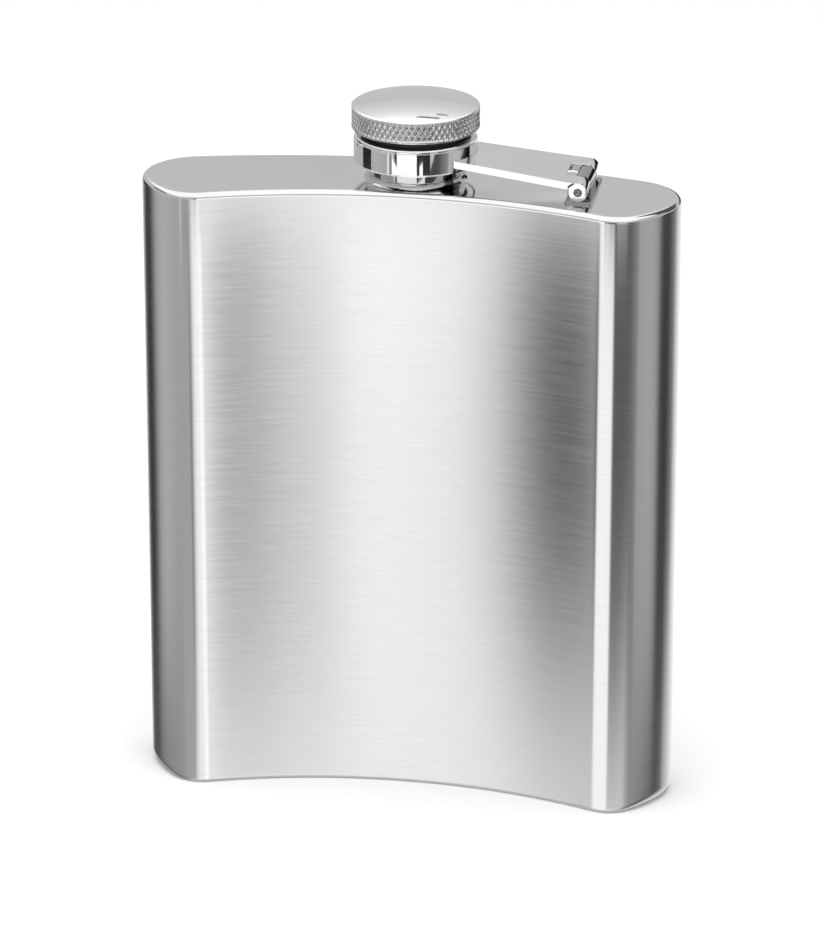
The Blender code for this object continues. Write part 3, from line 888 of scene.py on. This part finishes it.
# ---- the hinge ------------------------------------------------------------------------------------
def add_arm(material):
    """The arm: a sloping plate with soft edges, hollowed round the collar and forked at the pin."""
    slope = math.tan(ARM_SLOPE)
    top = KNUCKLE_R / math.cos(ARM_SLOPE)
    under = top - ARM_SHEET
    reach = PIN.x - AXIS_X - ARM_ROOT_X
    meets_under = math.pi - math.asin((under + slope * KNUCKLE_R) / KNUCKLE_R)
    outline = [Vector((-reach, under + slope * reach))]
    outline += arc(Vector((0.0, 0.0)), KNUCKLE_R, meets_under - 2 * math.pi, math.pi / 2 - ARM_SLOPE)
    outline += [Vector((-reach, top + slope * reach))]
    arm = side_prism("arm_visual", outline, ARM_NEAR - 5 * MM, ARM_FAR_AT_PIN + 5 * MM)
    half = (ARM_FAR_AT_PIN - ARM_NEAR) / 2
    middle = (ARM_FAR_AT_PIN + ARM_NEAR) / 2
    taper_end = PIN.x - ARM_TAPER_END
    outer_end = PIN.x + 2 * KNUCKLE_R
    root_x = AXIS_X + ARM_ROOT_X
    root_y = AXIS_Y + ARM_ROOT_Y
    plan = [
        (root_x, root_y - ARM_ROOT_HALF), (taper_end, middle - half), (outer_end, middle - half),
        (outer_end, middle + half), (taper_end, middle + half), (root_x, root_y + ARM_ROOT_HALF),
    ]
    limits = add_object("arm_limits", prism(plan, SEAT_Z, SEAT_Z + CAP_HIGH))
    cut(arm, limits, "INTERSECT")
    hollow = (AXIS_X, AXIS_Y, 0.0)
    cut(arm, cylinder("collar_hollow", COLLAR_R + COLLAR_SEAM, SEAT_Z, SEAT_Z + CAP_LOW, hollow))
    slot = [(-SLOT_LENGTH, -3 * KNUCKLE_R), (3 * KNUCKLE_R, -3 * KNUCKLE_R),
            (3 * KNUCKLE_R, 3 * KNUCKLE_R), (-SLOT_LENGTH, 3 * KNUCKLE_R)]
    cut(arm, side_prism("slot", slot, middle - SLOT_HALF, middle + SLOT_HALF))
    bevel_edges(arm, ARM_EDGE, 4)
    bore = cylinder("pin_bore", PIN_HOLE_R, ARM_NEAR - MM - PIN.y, ARM_FAR_AT_PIN + MM - PIN.y, PIN,
                    SMALL_TURN_STEPS, along_y=True)
    cut(arm, bore)
    finish_shape(arm)
    settle(arm, "arm", "chrome", material, "lid_arm")


def add_hinge_base(material):
    """The base leaf: a middle knuckle curled up from its outer edge, on a foot brazed to the plate."""
    seat = SEAT_Z - PIN.z
    curl_top = seat + BASE_LEAF
    meets_foot = math.pi - math.asin(curl_top / KNUCKLE_R)
    outline = [Vector((-BASE_INNER, seat)), Vector((KNUCKLE_R, seat))]
    outline += arc(Vector((0.0, 0.0)), KNUCKLE_R, 0.0, meets_foot)
    outline += [Vector((-BASE_INNER, curl_top))]
    base = side_prism("hinge_base_visual", outline, BASE_NEAR, BASE_FAR)
    bevel_edges(base, BASE_EDGE)
    bore = cylinder("pin_bore", PIN_HOLE_R, BASE_NEAR - MM - PIN.y, BASE_FAR + MM - PIN.y, PIN,
                    SMALL_TURN_STEPS, along_y=True)
    cut(base, bore)
    finish_shape(base)
    settle(base, "flask", "chrome", material, "hinge_base")

    near = ARM_NEAR + FOOT_INSET
    far = ARM_FAR_AT_PIN - FOOT_INSET
    foot = rounded([
        (PIN.x - FOOT_INNER, near, 0.5 * MM),
        (PIN.x + FOOT_OUTER, near, 0.5 * MM),
        (PIN.x + FOOT_OUTER, far, 0.5 * MM),
        (PIN.x - FOOT_INNER, far, 0.5 * MM),
    ])
    flange = add_object("hinge_foot_visual", prism(foot, SEAT_Z - 0.05 * MM, SEAT_Z + FOOT_TOP))
    bevel_edges(flange, BASE_EDGE)
    finish_shape(flange)
    settle(flange, "flask", "chrome", material)


def add_pin(material):
    """The hinge pin, with a dished and chamfered end on both sides."""
    half = (PIN_FAR - PIN_NEAR) / 2
    profile = rounded([
        (0.0, half - 0.22 * MM, 0.0),
        (0.3 * MM, half - 0.16 * MM, 0.1 * MM),
        (PIN_DISH_R, half, 0.06 * MM),
        (PIN_R - 0.1 * MM, half, 0.05 * MM),
        (PIN_R, half - 0.12 * MM, 0.05 * MM),
        (PIN_R, 0.12 * MM - half, 0.05 * MM),
        (PIN_R - 0.1 * MM, -half, 0.05 * MM),
        (PIN_DISH_R, -half, 0.06 * MM),
        (0.3 * MM, 0.16 * MM - half, 0.1 * MM),
        (0.0, 0.22 * MM - half, 0.0),
    ], closed=False)
    pin = lathe("hinge_pin_visual", profile, SMALL_TURN_STEPS, closed=False)
    pin.rotation_euler = (math.pi / 2, 0.0, 0.0)
    pin.location = (PIN.x, (PIN_FAR + PIN_NEAR) / 2, PIN.z)
    finish_shape(pin)
    settle(pin, "flask", "pin_steel", material, "hinge_pin")


# ---- studio ---------------------------------------------------------------------------------------
def add_camera():
    """The camera, at the photograph's viewing angle."""
    back = Vector((
        math.sin(CAMERA_AZIMUTH) * math.cos(CAMERA_ELEVATION),
        -math.cos(CAMERA_AZIMUTH) * math.cos(CAMERA_ELEVATION),
        math.sin(CAMERA_ELEVATION),
    ))
    data = bpy.data.cameras.new("camera")
    data.lens = CAMERA_LENS
    data.sensor_width = 36.0
    data.clip_start = 0.01
    data.clip_end = 20.0
    camera = bpy.data.objects.new("camera", data)
    camera.location = CAMERA_TARGET + CAMERA_DISTANCE * back
    camera.rotation_euler = back.to_track_quat("Z", "Y").to_euler()
    bpy.context.scene.collection.objects.link(camera)
    bpy.context.scene.camera = camera


def add_floor():
    """A plain pale floor."""
    nodes = Nodes("floor")
    cloud = nodes.noise(object_place(nodes), 3.0, 2.0)
    nodes.set(Base_Color=nodes.greys(cloud, 0.88, 0.90), Roughness=0.9,
              Specular_IOR_Level=0.1)
    shape = bmesh.new()
    bmesh.ops.create_grid(shape, x_segments=1, y_segments=1, size=3.0)
    floor = add_object("floor", shape)
    floor.data.materials.append(nodes.material)
    floor.visible_glossy = False


def add_area_light(name, place, aim, size, power):
    """A rectangular soft light that faces a point."""
    data = bpy.data.lights.new(name, "AREA")
    data.shape = "RECTANGLE"
    data.size, data.size_y = size
    data.energy = power
    light = bpy.data.objects.new(name, data)
    light.location = place
    light.rotation_euler = (Vector(place) - Vector(aim)).to_track_quat("Z", "Y").to_euler()
    bpy.context.scene.collection.objects.link(light)
    return light


def emissive(name):
    """A material that glows with its mesh's own glow colours."""
    nodes = Nodes(name)
    glow = nodes.add("Attribute", attribute_name="glow").outputs["Color"]
    emission = nodes.add("Emission", {"Color": glow, "Strength": 1.0})
    output = nodes.tree.nodes["Material Output"]
    nodes.tree.links.new(emission.outputs[0], output.inputs["Surface"])
    return nodes.material


def add_card(name, columns, heights):
    """A reflector card that only reflections show.

    Each column is (x, y, levels) about the neck's axis, with one level of brightness for each height,
    or a single level.
    """
    shape = bmesh.new()
    glow = shape.verts.layers.float_color.new("glow")
    grid = []
    for row, height in enumerate(heights):
        line = []
        for x, y, levels in columns:
            level = levels[row] if isinstance(levels, tuple) else levels
            vert = shape.verts.new((x * MM, y * MM, height * MM))
            vert[glow] = (level, level, level, 1.0)
            line.append(vert)
        grid.append(line)
    for lower, upper in zip(grid, grid[1:]):
        for index in range(len(columns) - 1):
            shape.faces.new((lower[index], lower[index + 1], upper[index + 1], upper[index]))
    show_in_reflections_only(add_object(name, shape, AXIS_X, AXIS_Y))


def add_ceiling(name, x_range, stops, height):
    """A level reflector card overhead, whose brightness runs along Y through stops of (y, level)."""
    shape = bmesh.new()
    glow = shape.verts.layers.float_color.new("glow")
    grid = []
    for y, level in stops:
        line = []
        for x in x_range:
            vert = shape.verts.new((x * MM, y * MM, height * MM))
            vert[glow] = (level, level, level, 1.0)
            line.append(vert)
        grid.append(line)
    for (left, right), (next_left, next_right) in zip(grid, grid[1:]):
        shape.faces.new((left, right, next_right, next_left))
    show_in_reflections_only(add_object(name, shape, AXIS_X, AXIS_Y))


def show_in_reflections_only(card):
    """Let a card glow, and show in the metal but nowhere else."""
    card.data.materials.append(emissive(card.name))
    card.visible_camera = False
    card.visible_diffuse = False
    card.visible_transmission = False
    card.visible_volume_scatter = False
    card.visible_shadow = False


def upright(x, y, low, level, lift=0.0):
    """Return a column of the surround: its level near the floor, at mid height, and near the top."""
    return (x, y, (low, low, level, level, level + 0.7 * lift, level + lift))


SURROUND_HEIGHTS = (-250.0, -50.0, -8.0, 48.0, 66.0, 108.0)
SIDE_X = 150                                # the surround's walls, in millimetres
FRONT_Y = -110
REAR_Y = 120
LEFT_WALL = [                               # y, level near the floor, level at mid height
    (120, 0.30, 0.35), (100, 0.12, 0.10), (70, 0.08, 0.02), (55, 0.08, 0.03), (40, 0.15, 0.13),
    (32, 0.20, 0.32), (20, 0.24, 0.47), (0, 0.26, 0.53), (-40, 0.30, 0.50), (-80, 0.34, 0.47),
]
FRONT_WALL = [                              # x, the two levels, and the lift towards the top
    (-150, 0.36, 0.46, 0.0), (-125, 0.40, 0.44, 0.0), (-104, 0.60, 0.44, 0.0), (-98, 0.90, 0.80, 0.1),
    (-92, 0.92, 0.90, 0.1), (-85, 0.92, 0.24, 0.1), (-75, 0.92, 0.04, 0.25), (-62, 0.94, 0.02, 0.25),
    (-55, 0.96, 0.05, 0.25), (-50, 0.98, 0.20, 0.25), (-44, 1.02, 0.48, 0.25), (-38, 1.04, 0.80, 0.25),
    (-30, 1.08, 1.05, 0.25), (-17, 1.08, 1.14, 0.25), (-9, 1.08, 1.14, 0.25), (-5, 1.06, 0.88, 0.25),
    (0, 1.04, 0.72, 0.25), (5, 1.02, 0.66, 0.25), (8, 1.00, 0.46, 0.05), (16, 1.00, 0.42, 0.05),
    (19, 1.00, 0.55, 0.05), (22, 1.04, 1.00, 0.25), (25, 1.08, 1.35, 0.25), (34, 1.08, 1.35, 0.25),
    (37, 1.00, 0.60, 0.0), (41, 0.98, 0.08, 0.0), (84, 0.95, 0.07, 0.0), (115, 0.90, 0.07, 0.0),
    (150, 0.75, 0.10, 0.0),
]
RIGHT_WALL = [
    (-95, 0.55, 0.15), (-60, 0.36, 0.26), (-45, 0.34, 0.42), (-10, 0.16, 0.48), (4, 0.08, 0.42),
    (11, 0.06, 0.05), (30, 0.10, 0.02), (62, 0.60, 0.14), (100, 0.70, 0.28),
]
REAR_WALL = [
    (150, 0.80, 0.60), (100, 0.95, 0.95), (64, 1.00, 1.10), (30, 1.00, 1.05), (0, 0.90, 0.75),
    (-30, 0.80, 0.52), (-60, 0.70, 0.30), (-90, 0.70, 0.55), (-130, 0.50, 0.58), (-150, 0.30, 0.35),
]
SURROUND = [upright(-SIDE_X, y, low, level) for y, low, level in LEFT_WALL]
SURROUND += [upright(x, FRONT_Y, low, level, lift) for x, low, level, lift in FRONT_WALL]
SURROUND += [upright(SIDE_X, y, low, level) for y, low, level in RIGHT_WALL]
SURROUND += [upright(x, REAR_Y, low, level) for x, low, level in REAR_WALL]

CARD_Y = -60
WORLD_GREY = 0.59
CEILING = 500.0
SOFT_BOX = [                                # y, level
    (-900.0, 0.6), (-650.0, 1.25), (440.0, 1.25), (505.0, 1.12), (570.0, 0.93), (650.0, 0.80),
    (830.0, 0.69), (1200.0, WORLD_GREY),
]
COLLAR_CARD = [                             # x, level: what the collar mirrors from left to right
    (-70, 0.55), (-31, 0.60), (-30, 0.03), (-24.5, 0.03), (-24, 1.2), (12, 1.3), (13, 0.03),
    (42, 0.03), (43, 0.62), (70, 0.62),
]
NECK_CARD = [(13, 0.03), (42, 0.03), (43, 0.6), (70, 0.6)]


def across(levels, y=CARD_Y):
    """Return the columns of a card that faces the front at y."""
    return [(x, y, level) for x, level in levels]


def add_studio():
    """Soft overhead light, a mid-grey surround, and cards that give the metal something to mirror."""
    world = bpy.data.worlds.new("surround")
    world.use_nodes = True
    background = world.node_tree.nodes["Background"]
    background.inputs["Color"].default_value = (WORLD_GREY, WORLD_GREY, WORLD_GREY, 1.0)
    background.inputs["Strength"].default_value = 1.0
    bpy.context.scene.world = world
    overhead = add_area_light("overhead", (0.0, -0.15, 1.1), (0.0, 0.0, 0.06), (1.1, 0.9), 12.0)
    overhead.visible_glossy = False
    add_card("surround_card", SURROUND, SURROUND_HEIGHTS)
    add_card("left_corner_card", across([(-76, 0.44), (-45, 0.44)]), (-60.0, 88.0))
    add_card("left_edge_card", across([(-28, 1.3), (-23, 1.3), (-21, 0.85)], -40), (-60.0, 94.0))
    add_card("right_corner_card", across([(-5, 1.2), (35.5, 1.2)], -60.5), (-60.0, 93.2))
    add_card("foot_flag", across([(16, 0.03), (31, 0.03)], -61), (92.0, 94.5))
    add_card("hinge_flag", across([(35, 0.02), (110, 0.02)], 119), (100.0, 136.0))
    add_card("left_flag", [(-SIDE_X, 34, 0.0), (-SIDE_X, -31, 0.0)], (140.0, 158.0))
    add_card("right_flag", [(SIDE_X, 24, 0.0), (SIDE_X, 113, 0.0)], (140.0, 158.0))
    add_card("arm_card", across([(-37, 1.25), (12, 1.25)]), (90.5, 96.5))
    add_card("neck_card", across(NECK_CARD), (93.3, 96.5))
    add_card("closure_card", across(COLLAR_CARD), (96.5, 108.0))
    add_card("knuckle_card", across([(17.5, 1.3), (24, 1.3)], -59), (94.5, 98.0))
    add_ceiling("soft_box", (-600.0, 600.0), SOFT_BOX, CEILING)
    add_ceiling("near_bar", (-92.0, -44.0), [(510.0, 0.04), (532.0, 0.04)], CEILING - 2.0)
    add_ceiling("far_bar", (-62.0, -38.0), [(580.0, 0.04), (602.0, 0.04)], CEILING - 2.0)
    add_ceiling("side_bar", (150.0, 900.0), [(130.0, 0.1), (800.0, 0.1)], CEILING - 5.0)
    view = bpy.context.scene.view_settings
    view.view_transform = "Standard"
    view.look = "None"


# ---- assembly -------------------------------------------------------------------------------------
add_camera()
brushed = brushed_steel()
polished = polished_steel()
bright = chrome("chrome", CHROME_GREY)
dull = pin_steel()

add_sleeve(brushed)
add_plate("top_plate_visual", "top_plate", SEAT_Z, 1.0, top_rim, "polished_steel", polished,
          NECK_ROOT_R + 0.1 * MM)
add_plate("bottom_plate_visual", "bottom_plate", 0.0, -1.0, bottom_rim, "brushed_steel", brushed)
# painted shade: the neck gets the same chrome as the collar, painted darker as the shade under the
# collar
add_neck(chrome("neck_chrome_painted_shade", NECK_SHADE_GREY))
add_collar(bright)
add_cap_shell(knurled_chrome())
nylon = black_nylon()
rubber = silicone()
add_insert(nylon)
add_flange_ring(bright)
add_gasket(rubber)
add_washer(dull)
add_arm(bright)
# painted shade: the hinge base and its foot get the arm's chrome, painted darker as the shade under the
# arm
add_hinge_base(chrome("hinge_chrome_painted_shade", HINGE_SHADE_GREY))
add_pin(dull)
add_floor()
add_studio()
